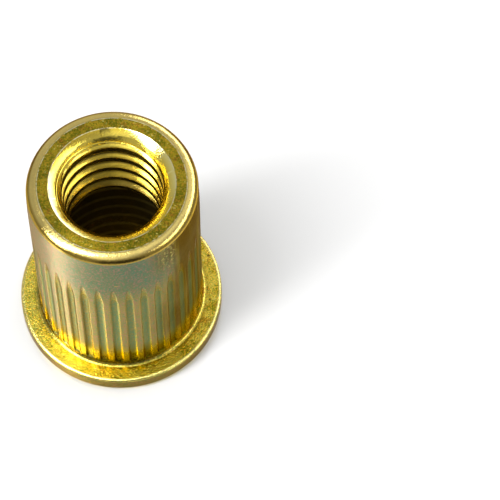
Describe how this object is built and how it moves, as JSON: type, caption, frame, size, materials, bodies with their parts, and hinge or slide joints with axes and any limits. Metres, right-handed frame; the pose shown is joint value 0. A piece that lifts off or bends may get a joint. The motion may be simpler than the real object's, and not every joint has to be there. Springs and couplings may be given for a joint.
{
  "type": "rivet nut",
  "caption": "Knurled rivet nut with a thin flat flange, a fluted round shank and an open threaded end; it gives thin sheet a load-bearing thread.",
  "frame": {"origin": "centre of the flange's outer face, the face the nut stands on", "axes": "+Z along the axis, from the flange to the threaded end; one flute faces -Y"},
  "size_m": [0.011, 0.011, 0.0138],
  "materials": {
    "yellow_zinc_steel": "glossy yellow chromate over zinc, mottled olive and gold with a faint pink and green sheen"
  },
  "bodies": {
    "root": {"rivet_nut": "yellow_zinc_steel"}
  },
  "joints": []
}
